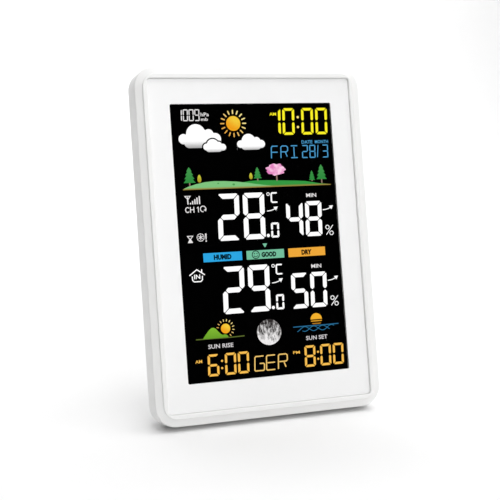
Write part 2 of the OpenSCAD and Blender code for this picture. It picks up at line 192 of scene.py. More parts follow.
def window_material():
    """Clear sheet, white ink round the display's opening."""
    n = Nodes("window_printed")
    _, xyz = case_coords(n)
    distance = rect_distance(n, xyz[0], xyz[2], VIEW_W_MM / 2 * MM, VIEW_H_MM / 2 * MM, 0.001)
    mask = step_mask(n, distance)
    tex = n.add("ShaderNodeTexCoord").outputs["Object"]
    large = n.add("ShaderNodeTexNoise", {"Vector": tex, "Scale": 40.0, "Detail": 2.0}).outputs[0]
    ink = n.add("ShaderNodeMix", {0: large, 6: rgb(246, 246, 246), 7: rgb(250, 250, 250)}, data_type="RGBA")
    alpha = n.add("ShaderNodeMapRange", {0: mask, 3: 0.0, 4: 1.0}).outputs[0]
    rough = n.add("ShaderNodeMapRange", {0: large, 3: 0.20, 4: 0.26}).outputs[0]
    bsdf = n.add("ShaderNodeBsdfPrincipled", {
        "Base Color": ink.outputs[2], "Roughness": rough, "Alpha": alpha, "Specular IOR Level": 0.35})
    return n.finish(bsdf.outputs[0])


def print_material():
    """White ink, with the black mask line round the opening."""
    n = Nodes("ink_print")
    _, xyz = case_coords(n)
    distance = rect_distance(n, xyz[0], xyz[2], (VIEW_W_MM / 2 + 1.6) * MM, (VIEW_H_MM / 2 + 1.6) * MM, 0.002)
    mask = step_mask(n, distance)
    tex = n.add("ShaderNodeTexCoord").outputs["Object"]
    fine = n.add("ShaderNodeTexNoise", {"Vector": tex, "Scale": 900.0}).outputs[0]
    white = n.add("ShaderNodeMix", {0: fine, 6: rgb(236, 236, 236), 7: rgb(246, 246, 246)}, data_type="RGBA")
    ink = n.add("ShaderNodeMix", {0: mask, 6: rgb(3, 3, 3), 7: white.outputs[2]}, data_type="RGBA")
    bsdf = n.add("ShaderNodeBsdfPrincipled", {
        "Base Color": ink.outputs[2], "Roughness": 0.6, "Specular IOR Level": 0.0})
    return n.finish(bsdf.outputs[0])


def black_film():
    n = Nodes("black_film")
    tex = n.add("ShaderNodeTexCoord").outputs["Object"]
    fine = n.add("ShaderNodeTexNoise", {"Vector": tex, "Scale": 1500.0}).outputs[0]
    mix = n.add("ShaderNodeMix", {0: fine, 6: (0.0002, 0.0002, 0.0002, 1), 7: (0.0008, 0.0008, 0.0009, 1)},
                data_type="RGBA")
    bsdf = n.add("ShaderNodeBsdfPrincipled", {
        "Base Color": mix.outputs[2], "Roughness": 0.45, "Specular IOR Level": 0.0})
    return n.finish(bsdf.outputs[0])


def glassy(name, color, alpha, roughness=0.08):
    n = Nodes(name)
    tex = n.add("ShaderNodeTexCoord").outputs["Object"]
    large = n.add("ShaderNodeTexNoise", {"Vector": tex, "Scale": 60.0}).outputs[0]
    rough = n.add("ShaderNodeMapRange", {0: large, 3: roughness, 4: roughness + 0.06}).outputs[0]
    opacity = n.add("ShaderNodeMapRange", {0: large, 3: alpha, 4: alpha + 0.05}).outputs[0]
    bsdf = n.add("ShaderNodeBsdfPrincipled", {"Base Color": color, "Roughness": rough, "Alpha": opacity})
    return n.finish(bsdf.outputs[0])


def board_material(name, mask_color, track_color):
    """Solder mask with fine copper tracks under it."""
    n = Nodes(name)
    vector, _ = case_coords(n)
    brick = n.add("ShaderNodeTexBrick", {
        "Vector": vector, "Color1": mask_color, "Color2": [c * 0.8 for c in mask_color[:3]] + [1],
        "Mortar": track_color, "Scale": 300.0, "Mortar Size": 0.02})
    bsdf = n.add("ShaderNodeBsdfPrincipled", {"Base Color": brick.outputs[0], "Roughness": 0.28})
    return n.finish(bsdf.outputs[0])


def ribbon_material():
    n = Nodes("ribbon_film")
    _, xyz = case_coords(n)
    wave = n.math("SINE", n.math("MULTIPLY", xyz[0], 2 * pi / 0.0012))
    mask = n.math("GREATER_THAN", wave, 0.2)
    mix = n.add("ShaderNodeMix", {0: mask, 6: rgb(200, 150, 70), 7: rgb(90, 70, 45)}, data_type="RGBA")
    bsdf = n.add("ShaderNodeBsdfPrincipled", {"Base Color": mix.outputs[2], "Roughness": 0.3})
    return n.finish(bsdf.outputs[0])


def led_material():
    """White board whose chips are coloured yellow."""
    n = Nodes("led_board")
    _, xyz = case_coords(n)
    low = n.math("LESS_THAN", xyz[2], CHIP_TOP_MM * MM)
    tex = n.add("ShaderNodeTexCoord").outputs["Object"]
    fine = n.add("ShaderNodeTexNoise", {"Vector": tex, "Scale": 400.0}).outputs[0]
    white = n.add("ShaderNodeMix", {0: fine, 6: rgb(225, 225, 220), 7: rgb(240, 240, 236)}, data_type="RGBA")
    mix = n.add("ShaderNodeMix", {0: low, 6: white.outputs[2], 7: rgb(240, 215, 90)}, data_type="RGBA")
    bsdf = n.add("ShaderNodeBsdfPrincipled", {"Base Color": mix.outputs[2], "Roughness": 0.35})
    return n.finish(bsdf.outputs[0])


def battery_material():
    """Plain slate sleeve, bright steel at both ends."""
    n = Nodes("battery_sleeve")
    _, xyz = case_coords(n)
    tex = n.add("ShaderNodeTexCoord").outputs["Object"]
    noise = n.add("ShaderNodeTexNoise", {"Vector": tex, "Scale": 300.0}).outputs[0]
    away = n.math("ABSOLUTE", xyz[0])
    metal = n.math("GREATER_THAN", away, SLEEVE_END_MM * MM)
    sleeve = n.add("ShaderNodeMix", {0: noise, 6: rgb(92, 112, 128), 7: rgb(108, 128, 144)}, data_type="RGBA")
    mix = n.add("ShaderNodeMix", {0: metal, 6: sleeve.outputs[2], 7: rgb(190, 190, 188)}, data_type="RGBA")
    rough = n.add("ShaderNodeMapRange", {0: noise, 3: 0.22, 4: 0.4}).outputs[0]
    bsdf = n.add("ShaderNodeBsdfPrincipled", {
        "Base Color": mix.outputs[2], "Roughness": rough, "Metallic": metal})
    return n.finish(bsdf.outputs[0])


def wire_material():
    """Red on one side of the case, black on the other."""
    n = Nodes("wire_sleeves")
    _, xyz = case_coords(n)
    side = n.math("GREATER_THAN", xyz[0], 0.0)
    tex = n.add("ShaderNodeTexCoord").outputs["Object"]
    noise = n.add("ShaderNodeTexNoise", {"Vector": tex, "Scale": 900.0}).outputs[0]
    mix = n.add("ShaderNodeMix", {0: side, 6: rgb(190, 30, 25), 7: rgb(20, 20, 20)}, data_type="RGBA")
    rough = n.add("ShaderNodeMapRange", {0: noise, 3: 0.35, 4: 0.5}).outputs[0]
    bsdf = n.add("ShaderNodeBsdfPrincipled", {"Base Color": mix.outputs[2], "Roughness": rough})
    return n.finish(bsdf.outputs[0])


FINISH = {
    "front_frame": surface("case_white", rgb(243, 243, 242), 0.36, grain=0.10, mottle=0.006),
    "rear_cover": surface("case_white_spark", rgb(240, 240, 239), 0.5, grain=0.55, grain_size=0.0003,
                          mottle=0.01),
    "stand": surface("stand_white_spark", rgb(240, 240, 239), 0.5, grain=0.5, grain_size=0.0003, mottle=0.01),
    "battery_door": surface("door_white_spark", rgb(239, 239, 238), 0.5, grain=0.5, grain_size=0.0003,
                            mottle=0.01),
    "window": window_material(),
    "window_print": print_material(),
    "dust_gasket": surface("foam", rgb(14, 14, 14), 0.95, grain=0.9, grain_size=0.0005, mottle=0.3,
                           specular=0.1),
    "front_polarizer": black_film(),
    "rear_polarizer": black_film(),
    "front_glass": glassy("glass_front", rgb(205, 222, 218), 0.30),
    "rear_glass": glassy("glass_rear", rgb(200, 220, 216), 0.32),
    "colour_film": surface("colour_film", rgb(225, 165, 80), 0.25, mottle=0.25, mottle_size=0.008),
    "diffuser": surface("diffuser_film", rgb(240, 240, 240), 0.7, mottle=0.01),
    "light_guide": glassy("light_guide", rgb(230, 242, 242), 0.45),
    "reflector": surface("reflector_film", rgb(225, 225, 228), 0.12, metallic=0.8, mottle=0.02),
    "led_strip": led_material(),
    "display_holder": surface("holder_plastic", rgb(222, 222, 222), 0.5, grain=0.2, mottle=0.02),
    "display_ribbon": ribbon_material(),
    "controller": surface("resin", rgb(16, 16, 17), 0.18, mottle=0.2, grain=0.2, grain_size=0.001),
    "crystal": surface("crystal_can", rgb(190, 190, 186), 0.22, metallic=1.0, mottle=0.03),
    "pressure_sensor": surface("sensor_can", rgb(190, 188, 182), 0.3, metallic=1.0, mottle=0.03),
    "key_switches": surface("switch_black", rgb(26, 26, 26), 0.4, grain=0.2, mottle=0.08),
    "power_socket": surface("socket_black", rgb(22, 22, 22), 0.42, grain=0.25, mottle=0.08),
    "buzzer": surface("buzzer_black", rgb(24, 24, 24), 0.38, grain=0.2, mottle=0.08),
    "antenna": surface("enamelled_wire", rgb(196, 122, 66), 0.25, metallic=1.0, mottle=0.06),
    "humidity_sensor": surface("sensor_white", rgb(225, 225, 222), 0.45, grain=0.3, mottle=0.03),
    "contact_springs": surface("spring_nickel", rgb(196, 194, 188), 0.25, metallic=1.0, mottle=0.04),
    "contact_plates": surface("plate_nickel", rgb(200, 198, 192), 0.28, metallic=1.0, mottle=0.04),
    "batteries": battery_material(),
    "battery_wires": wire_material(),
    "stand_pin": surface("pin_steel", rgb(190, 190, 192), 0.25, metallic=1.0, mottle=0.03),
    "foot_pads": surface("silicone_pale", rgb(214, 214, 212), 0.55, grain=0.2, mottle=0.02),
    "stand_foot": surface("rubber_dark", rgb(52, 52, 53), 0.7, grain=0.5, grain_size=0.0004, mottle=0.08),
    "top_key": surface("key_top_grey", rgb(226, 226, 226), 0.4, grain=0.2, mottle=0.01),
}
board_green = board_material("board_green", rgb(24, 92, 48), rgb(60, 140, 80))
key_grey = surface("key_grey", rgb(222, 222, 223), 0.42, grain=0.25, mottle=0.012)
screw_zinc = surface("screw_zinc", rgb(186, 186, 190), 0.3, metallic=1.0, mottle=0.06, grain=0.2)
for node in ("main_board", "radio_board", "sensor_board", "top_key_board"):
    FINISH[node] = board_green
for number in range(1, 7):
    FINISH["key_%d" % number] = key_grey
for node in ("holder_screws", "board_screws", "cover_screws"):
    FINISH[node] = screw_zinc

for name, node in frame["nodes"].items():
    node.data.materials.clear()
    node.data.materials.append(FINISH[name])


# ---------------------------------------------------------------- display graphics
# Drawn in mm: u from the display's middle to the right, v up from its lower edge
PLATE_Y_MM = 3.12
PLATE_T_MM = 0.10
LAYER_MM = 0.03
# The plates lie behind the window's face, so they are drawn this much to the right and this much larger
SHIFT_MM, SPREAD = 0.62, 1.0027


def lcd_point(u, v, depth_mm):
    lift = VIEW_LOW_MM + VIEW_H_MM / 2 + (v - VIEW_H_MM / 2) * SPREAD
    return case_point(u * SPREAD + SHIFT_MM, depth_mm, lift)


def glow(name, strength=1.0):
    """Lit segment: its vertex colour, glowing, with the fine screen grain of the colour film."""
    n = Nodes(name)
    color = n.add("ShaderNodeVertexColor", layer_name="tint")
    tex = n.add("ShaderNodeTexCoord").outputs["Object"]
    noise = n.add("ShaderNodeTexNoise", {"Vector": tex, "Scale": 1200.0, "Detail": 1.0}).outputs[0]
    gain = n.add("ShaderNodeMapRange", {0: noise, 3: 0.94, 4: 1.06}).outputs[0]
    scaled = n.add("ShaderNodeVectorMath", {0: color.outputs[0], "Scale": gain}, operation="SCALE")
    emission = n.add("ShaderNodeEmission", {"Color": scaled.outputs[0], "Strength": strength})
    return n.finish(emission.outputs[0])


GLOW = glow("lit_segment")


def plate(name, shapes, color, layer=0, material=None, shade=None):
    """One closed plate per outline, all in one mesh; color is linear, shade(u, v) may replace it."""
    front = PLATE_Y_MM - layer * LAYER_MM
    back = front + PLATE_T_MM
    bm = bmesh.new()
    uv = []
    for outline in shapes:
        area = sum(outline[i - 1][0] * outline[i][1] - outline[i][0] * outline[i - 1][1]
                   for i in range(len(outline)))
        if area < 0:
            outline = outline[::-1]
        near = [bm.verts.new(lcd_point(u, v, front)) for u, v in outline]
        far = [bm.verts.new(lcd_point(u, v, back)) for u, v in outline]
        uv += list(outline) + list(outline)
        bm.faces.new(near)
        bm.faces.new(far[::-1])
        for i in range(len(near)):
            bm.faces.new((near[i - 1], far[i - 1], far[i], near[i]))
    return finish_plate(name, bm, uv, shade or (lambda u, v: color), material)


def finish_plate(name, bm, uv, color_at, material=None):
    """Piece from bm, its vertices tinted by color_at(u, v)."""
    mesh = bpy.data.meshes.new(name)
    bm.to_mesh(mesh)
    bm.free()
    tint = mesh.color_attributes.new("tint", "FLOAT_COLOR", "POINT")
    for i, (u, v) in enumerate(uv):
        tint.data[i].color = color_at(u, v)
    return add_piece(name, mesh, material or GLOW)


def add_piece(name, mesh, material):
    piece = bpy.data.objects.new(name, mesh)
    scene.collection.objects.link(piece)
    mesh.materials.append(material)
    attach(piece, "console")
    return piece


def round_corners(points, radius, steps=3):
    """Closed outline with each corner rounded, less where its sides are short."""
    result = []
    count = len(points)
    for i in range(count):
        p, a, b = Vector(points[i]), Vector(points[i - 1]), Vector(points[(i + 1) % count])
        ua, ub = (a - p).normalized(), (b - p).normalized()
        half = acos(max(-1, min(1, ua.dot(ub)))) / 2
        if half > 1.5:
            result.append(tuple(p))
            continue
        cut = min(radius / max(0.05, sin(half) / cos(half)), (a - p).length * 0.45, (b - p).length * 0.45)
        start, end = p + ua * cut, p + ub * cut
        for k in range(steps + 1):
            t = k / steps
            result.append(tuple(start * (1 - t) ** 2 + p * 2 * t * (1 - t) + end * t ** 2))
    return result


SEGMENTS = {"0": "abcdef", "1": "bc", "2": "abged", "3": "abgcd", "4": "fgbc", "5": "afgcd", "6": "afgedc",
            "7": "abc", "8": "abcdefg", "9": "abcdfg"}


def digit(text, x, y, w, h, t, slant=0.03, gap=0.2, radius=0.3, chamfer=0.75):
    """Outlines of a seven-segment digit whose lower left corner is x, y; t is the stroke."""
    m, c, g = h / 2, t * chamfer * 0.5, gap
    k = t / 2
    seg = {
        "a": [(c + g, h), (w - c - g, h), (w - c / 2 - g, h - c / 2), (w - t - g, h - t), (t + g, h - t),
              (c / 2 + g, h - c / 2)],
        "d": [(c + g, 0), (w - c - g, 0), (w - c / 2 - g, c / 2), (w - t - g, t), (t + g, t),
              (c / 2 + g, c / 2)],
        "g": [(k + g, m), (t + g, m + k), (w - t - g, m + k), (w - k - g, m), (w - t - g, m - k),
              (t + g, m - k)],
        "f": [(0, h - c - g), (c / 2, h - c / 2 - g), (t, h - t - g), (t, m + k + g), (k, m + g),
              (0, m + k + g)],
        "e": [(0, c + g), (c / 2, c / 2 + g), (t, t + g), (t, m - k - g), (k, m - g), (0, m - k - g)],
    }
    seg["b"] = [(w - px, py) for px, py in seg["f"]]
    seg["c"] = [(w - px, py) for px, py in seg["e"]]
    shapes = []
    for name in SEGMENTS[text]:
        outline = round_corners(seg[name], radius)
        shapes.append([(x + px + slant * py, y + py) for px, py in outline])
    return shapes


def stroke(points, width, cap=True):
    """Outline of a line of points with the given width, its ends rounded."""
    pts = [Vector(p) for p in points]
    half = width / 2
    normals = []
    for i in range(len(pts)):
        d1 = (pts[i] - pts[i - 1]).normalized() if i else (pts[1] - pts[0]).normalized()
        d2 = (pts[i + 1] - pts[i]).normalized() if i < len(pts) - 1 else d1
        n = Vector((-(d1 + d2).y, (d1 + d2).x)).normalized()
        scale = 1 / max(0.5, n.dot(Vector((-d1.y, d1.x))))
        normals.append(n * half * scale)
    left = [tuple(p + n) for p, n in zip(pts, normals)]
    right_side = [tuple(p - n) for p, n in zip(pts, normals)][::-1]
    if not cap:
        return left + right_side

    def arc(centre, n):
        start = atan2(n.y, n.x)
        return [(centre.x + half * cos(start - pi * k / 6), centre.y + half * sin(start - pi * k / 6))
                for k in range(1, 6)]

    first, last = normals[0].normalized(), normals[-1].normalized()
    return left + arc(pts[-1], last) + right_side + arc(pts[0], -first)


def ring(cx, cy, radius, width, start=0.0, sweep=360.0, steps=28):
    """Outlines of a ring, or of part of one, in two halves or one piece."""
    halves = 2 if sweep >= 360 else 1
    shapes = []
    for k in range(halves):
        a0 = radians(start + k * sweep / halves)
        a1 = radians(start + (k + 1) * sweep / halves)
        pts = [(cx + radius * cos(a0 + (a1 - a0) * i / steps), cy + radius * sin(a0 + (a1 - a0) * i / steps))
               for i in range(steps + 1)]
        shapes.append(stroke(pts, width, cap=halves == 1))
    return shapes


def disc(cx, cy, rx, ry=None, steps=40):
    ry = ry or rx
    return [(cx + rx * cos(2 * pi * i / steps), cy + ry * sin(2 * pi * i / steps)) for i in range(steps)]


def box(x0, x1, y0, y1, radius=0.2):
    return round_corners([(x0, y0), (x1, y0), (x1, y1), (x0, y1)], radius)


def words(name, text, x0, x1, y0, y1, color, layer=0, bold=0.012, slant=0.0):
    """Small caption in the built-in font, fitted to a box and given the plates' thickness."""
    curve = bpy.data.curves.new(name, "FONT")
    curve.body = text
    curve.offset = bold
    curve.resolution_u = 2
    curve.extrude = 0.5
    holder = bpy.data.objects.new(name + "_text", curve)
    scene.collection.objects.link(holder)
    bpy.context.view_layer.update()
    mesh = bpy.data.meshes.new_from_object(holder.evaluated_get(bpy.context.evaluated_depsgraph_get()))
    bpy.data.objects.remove(holder)
    xs = [v.co.x for v in mesh.vertices]
    ys = [v.co.y for v in mesh.vertices]
    low_x, low_y = min(xs), min(ys)
    sx, sy = (x1 - x0) / (max(xs) - low_x), (y1 - y0) / (max(ys) - low_y)
    front = PLATE_Y_MM - layer * LAYER_MM
    for vert in mesh.vertices:
        v = y0 + (vert.co.y - low_y) * sy
        u = x0 + (vert.co.x - low_x) * sx + slant * (v - y0)
        vert.co = lcd_point(u, v, front + (0 if vert.co.z > 0 else PLATE_T_MM))
    mesh.materials.clear()
    tint = mesh.color_attributes.new("tint", "FLOAT_COLOR", "POINT")
    for item in tint.data:
        item.color = color
    return add_piece(name, mesh, GLOW)


WHITE = (1.05, 1.05, 1.05, 1)
GREY_WHITE = rgb(232, 230, 230)
YELLOW = rgb(252, 240, 40)
BLUE = rgb(75, 155, 205)
ORANGE = rgb(248, 190, 82)
BAR_BLUE, BAR_GREEN, BAR_ORANGE = rgb(44, 165, 226), rgb(116, 190, 156), rgb(238, 168, 58)
INK = rgb(4, 8, 10)


def number(name, text, starts, y, w, h, t, color, **shape):
    shapes = []
    for char, x in zip(text, starts):
        shapes += digit(char, x, y, w, h, t, **shape)
    return plate(name, shapes, color)


# Outdoor and indoor rows: temperature, humidity, trend arrows, minimum marks
for row, shift, temperature, humidity in (("outdoor", 0.0, "28", "48"), ("indoor", -41.15, "29", "50")):
    base = 78.3 + shift
    number("lcd_%s_temperature" % row, temperature, (-25.5, -10.2), base, 13.0, 26.5, 2.85, WHITE,
           slant=0.026, gap=0.33, radius=0.5)
    number("lcd_%s_humidity" % row, humidity, (15.9, 27.8), base, 10.3, 20.3, 2.35, WHITE,
           slant=0.035, gap=0.31, radius=0.45)
    number("lcd_%s_tenths" % row, "0", (6.25,), base + 0.35, 4.9, 8.6, 1.15, WHITE, slant=0.03, gap=0.14,
           radius=0.3)
    celsius = ring(6.0, base + 25.4, 0.8, 0.4) + [stroke(
        [(11.0, base + 25.9), (8.4, base + 25.9), (7.9, base + 25.3), (7.8, base + 21.3), (8.4, base + 20.6),
         (11.0, base + 20.6)], 0.85)]
    percent = ring(41.6, base + 4.75, 1.1, 0.4) + ring(43.95, base + 1.3, 1.1, 0.4)
    percent.append(stroke([(40.7, base + 0.45), (45.0, base + 5.7)], 0.4))
    marks = celsius + percent + [disc(4.4, base + 1.7, 0.95)]
    for left, low in ((4.9, 15.7), (39.6, 15.0)):
        lift = base + low
        marks.append(stroke([(left, lift), (left + 1.6, lift + 0.12), (left + 3.2, lift + 0.5),
                             (left + 4.6, lift + 1.1)], 0.5))
        marks.append([(left + 3.9, lift + 2.2), (left + 6.5, lift + 2.35), (left + 5.3, lift + 0.1)])
    plate("lcd_%s_marks" % row, marks, WHITE)
    words("lcd_%s_min" % row, "MIN", 29.6, 35.9, base + 22.7, base + 24.9, GREY_WHITE)

# Comfort bars
plate("lcd_bar_humid", [box(-35.3, -12.3, 66.9, 71.9)], BAR_BLUE)
plate("lcd_bar_good", [box(-9.6, 13.3, 66.9, 71.9)], BAR_GREEN)
plate("lcd_bar_dry", [box(16.0, 39.0, 66.9, 71.9)], BAR_ORANGE)
words("lcd_word_humid", "HUMID", -29.2, -18.7, 67.8, 70.8, INK, layer=4, bold=0.055)
words("lcd_word_good", "GOOD", -0.6, 8.4, 67.8, 70.8, INK, layer=4, bold=0.055)
words("lcd_word_dry", "DRY", 24.1, 30.4, 67.8, 70.8, INK, layer=4, bold=0.055)
face = ring(-4.1, 69.45, 2.15, 0.45) + [disc(-4.9, 70.1, 0.32), disc(-3.3, 70.1, 0.32)]
face += ring(-4.1, 69.4, 1.15, 0.35, start=205, sweep=130, steps=10)
plate("lcd_face", face, INK, layer=4)
plate("lcd_comfort_marker", [round_corners([(0.4, 75.6), (3.4, 75.6), (1.9, 73.2)], 0.3)], BAR_GREEN)

# Left column: receiver, channel, icons, house
receiver = [stroke([(-43.7, 104.2), (-40.5, 104.2), (-42.0, 102.3), (-43.6, 104.1)], 0.42),
            stroke([(-42.1, 103.4), (-42.1, 99.9)], 0.65)]
for k, (x, h) in enumerate(((-40.6, 0.9), (-39.35, 1.9), (-38.0, 2.8), (-36.7, 3.7), (-35.3, 4.5))):
    receiver.append(box(x - 0.36, x + 0.36, 99.6, 99.6 + h, 0.15))
plate("lcd_receiver", receiver, GREY_WHITE)
channel = [stroke([(-41.8, 97.6), (-42.6, 98.0), (-43.5, 97.5), (-43.8, 96.6), (-43.5, 95.6), (-42.6, 95.1),
                   (-41.8, 95.5)], 0.48),
           stroke([(-40.9, 98.0), (-40.9, 95.1)], 0.48), stroke([(-38.9, 98.0), (-38.9, 95.1)], 0.48),
           stroke([(-40.9, 96.6), (-38.9, 96.6)], 0.46),
           stroke([(-36.9, 97.5), (-36.3, 97.9), (-36.3, 95.2)], 0.46)]
channel += ring(-33.5, 96.8, 1.6, 0.46, start=-10, sweep=280, steps=20)
channel.append([(-33.2, 96.2), (-31.4, 97.0), (-31.9, 95.4)])
plate("lcd_channel", channel, GREY_WHITE)
icons = [stroke([(-43.8, 81.9), (-40.6, 81.9), (-42.2, 79.9), (-43.7, 81.8)], 0.45),
         round_corners([(-42.5, 80.3), (-41.9, 80.3), (-40.6, 78.1), (-43.8, 78.1)], 0.3),
         round_corners([(-33.4, 83.0), (-32.5, 83.0), (-32.7, 79.6), (-33.2, 79.6)], 0.2),
         disc(-32.95, 78.75, 0.42)]
for k in range(3):
    a = radians(90 + 60 * k)
    icons.append(stroke([(-36.1 + 1.3 * cos(a), 80.9 + 1.3 * sin(a)),
                         (-36.1 - 1.3 * cos(a), 80.9 - 1.3 * sin(a))], 0.4))
for k in range(9):
    icons += ring(-36.1, 80.9, 2.05, 0.42, start=40 * k, sweep=24, steps=5)
plate("lcd_icons", icons, GREY_WHITE)
house = [stroke([(-43.9, 60.1), (-39.6, 63.1), (-35.3, 60.1)], 0.58),
         stroke([(-36.8, 61.6), (-36.8, 62.9)], 0.58),
         stroke([(-42.5, 59.3), (-42.4, 57.3), (-41.5, 56.4), (-37.6, 56.4), (-36.7, 57.3),
                 (-36.6, 59.3)], 0.58)]
plate("lcd_house", house, WHITE)
words("lcd_word_in", "IN", -41.4, -37.9, 57.9, 60.4, WHITE)

# Pressure
number("lcd_pressure", "1009", (-45.2, -41.7, -38.3, -34.9), 146.3, 2.9, 6.6, 0.55, GREY_WHITE, slant=0.03,
       gap=0.1, radius=0.2)
words("lcd_word_hpa", "hPa", -31.2, -26.3, 148.9, 151.0, GREY_WHITE)
words("lcd_word_mb", "mb", -31.2, -27.1, 146.3, 148.2, GREY_WHITE)

# Clock and date
number("lcd_clock", "1000", (9.2, 17.8, 29.6, 38.5), 137.5, 7.4, 15.5, 1.5, YELLOW, slant=0.04, gap=0.32,
       radius=0.6, chamfer=0.9)
plate("lcd_clock_colon", [disc(27.8, 147.7, 0.72), disc(27.5, 141.95, 0.72)], rgb(250, 225, 130))
words("lcd_word_am", "AM", 10.3, 14.4, 148.8, 150.6, YELLOW)
words("lcd_word_date", "DATE", 29.1, 35.9, 132.2, 134.1, BLUE)
words("lcd_word_month", "MONTH", 37.5, 45.9, 132.2, 134.1, BLUE)
number("lcd_date", "283", (28.8, 33.5, 41.6), 123.8, 3.8, 7.6, 0.62, BLUE, slant=0.03, gap=0.12, radius=0.22)
plate("lcd_weekday", [
    stroke([(9.7, 124.4), (10.0, 130.4), (10.7, 131.1), (13.7, 131.1)], 0.58),
    stroke([(10.4, 127.6), (13.5, 127.6)], 0.58),
    stroke([(15.6, 124.4), (15.9, 130.4), (16.6, 131.1), (19.2, 131.1), (20.1, 130.3), (20.0, 128.4),
            (19.2, 127.7), (16.3, 127.7)], 0.58),
    stroke([(18.6, 127.2), (19.4, 125.2)], 0.58),
    stroke([(22.4, 131.1), (25.9, 131.1)], 0.58), stroke([(24.0, 130.2), (23.9, 124.9)], 0.58),
    stroke([(22.1, 124.2), (25.8, 124.2)], 0.58),
    stroke([(39.3, 131.1), (38.5, 124.3)], 0.45)], BLUE)

# Sunrise and sunset times, region letters
number("lcd_sunrise_time", "600", (-37.1, -27.0, -19.3), 3.3, 6.6, 12.2, 1.3, ORANGE, slant=0.03, gap=0.28,
       radius=0.5, chamfer=0.9)
number("lcd_sunset_time", "800", (21.4, 31.2, 39.2), 3.3, 6.7, 12.2, 1.3, ORANGE, slant=0.03, gap=0.28,
       radius=0.5, chamfer=0.9)
colons = ((-28.5, 11.4), (-28.7, 7.4), (30.0, 11.4), (29.9, 7.4))
plate("lcd_sun_colons", [disc(x, y, 0.62) for x, y in colons], ORANGE)
words("lcd_word_rise_am", "AM", -44.1, -40.1, 11.2, 13.0, ORANGE)
words("lcd_word_set_pm", "PM", 14.6, 18.7, 11.4, 13.0, ORANGE)
plate("lcd_region", [
    stroke([(-3.9, 12.0), (-8.3, 12.0), (-8.9, 11.4), (-9.4, 4.4), (-8.9, 3.9), (-4.1, 3.9), (-3.6, 4.5),
            (-3.4, 7.3), (-4.0, 7.9), (-6.0, 7.9)], 0.68),
    stroke([(3.1, 12.0), (-1.3, 12.0), (-1.9, 11.4), (-2.3, 4.4), (-1.8, 3.8), (2.6, 3.8)], 0.68),
    stroke([(-1.3, 7.9), (2.8, 7.9)], 0.68),
    stroke([(4.9, 4.1), (5.4, 11.4), (6.1, 12.0), (10.0, 12.0), (10.8, 11.3), (10.7, 8.7), (9.9, 7.9),
            (5.9, 7.9)], 0.68),
    stroke([(8.7, 7.1), (9.5, 4.9)], 0.68)], rgb(238, 196, 110))
words("lcd_words_sunrise", "SUN RISE", -36.0, -21.2, 18.6, 21.0, rgb(215, 212, 214))
words("lcd_words_sunset", "SUN SET", 23.2, 36.6, 18.6, 21.0, rgb(215, 212, 214))


# ---------------------------------------------------------------- pictures
def smooth(a, b, x):
    t = max(0.0, min(1.0, (x - a) / (b - a)))
    return t * t * (3 - 2 * t)


def mix(a, b, t):
    return tuple(p * (1 - t) + q * t for p, q in zip(a, b))


def sheet_pair(name, columns, rows, layer, color_at):
    """Closed plate from columns (x, bottom, top) of its outline, its rows of points tinted by color_at."""
    front = PLATE_Y_MM - layer * LAYER_MM
    steps = len(columns) - 1
    bm = bmesh.new()
    grids, uv = [], []
    for depth in (front, front + PLATE_T_MM):
        grid = []
        for u, bottom, top in columns:
            line = []
            for k in range(rows + 1):
                v = bottom + (top - bottom) * k / rows
                line.append(bm.verts.new(lcd_point(u, v, depth)))
                uv.append((u, v))
            grid.append(line)
        grids.append(grid)
    for g, grid in enumerate(grids):
        for i in range(steps):
            for k in range(rows):
                quad = (grid[i][k], grid[i + 1][k], grid[i + 1][k + 1], grid[i][k + 1])
                bm.faces.new(quad if g == 0 else quad[::-1])
    near, far = grids
    for i in range(steps):
        bm.faces.new((near[i][0], far[i][0], far[i + 1][0], near[i + 1][0]))
        bm.faces.new((near[i + 1][rows], far[i + 1][rows], far[i][rows], near[i][rows]))
    for k in range(rows):
        bm.faces.new((near[0][k + 1], far[0][k + 1], far[0][k], near[0][k]))
        bm.faces.new((near[steps][k], far[steps][k], far[steps][k + 1], near[steps][k + 1]))
    return finish_plate(name, bm, uv, color_at)


def envelope(name, circles, base, low, high, grey, layer=0, grow=0.0, color=None):
    """Cloud: the outline round its circles, flat at its base, shaded from grey at its base to white."""
    left = min(x - r for x, y, r in circles) - grow
    right_x = max(x + r for x, y, r in circles) + grow
    steps = 90
    columns = []
    for i in range(steps + 1):
        x = left + (right_x - left) * (1 - cos(pi * i / steps)) / 2
        tops, bottoms = [], []
        for cx, cy, r in circles:
            r += grow
            if abs(x - cx) <= r:
                tops.append(cy + sqrt(max(0, r * r - (x - cx) ** 2)))
                bottoms.append(cy - sqrt(max(0, r * r - (x - cx) ** 2)))
        if base[0] <= x <= base[1]:
            bottoms.append(base[2] - grow)
        bottoms = bottoms or [base[2]]
        top = max(tops) if tops else base[2]
        columns.append((x, max(min(bottoms), base[2] - grow), max(top, min(bottoms) + 0.002)))
    return sheet_pair(name, columns, 14, layer,
                      lambda u, v: color or mix(grey, WHITE, smooth(low, high, v)))


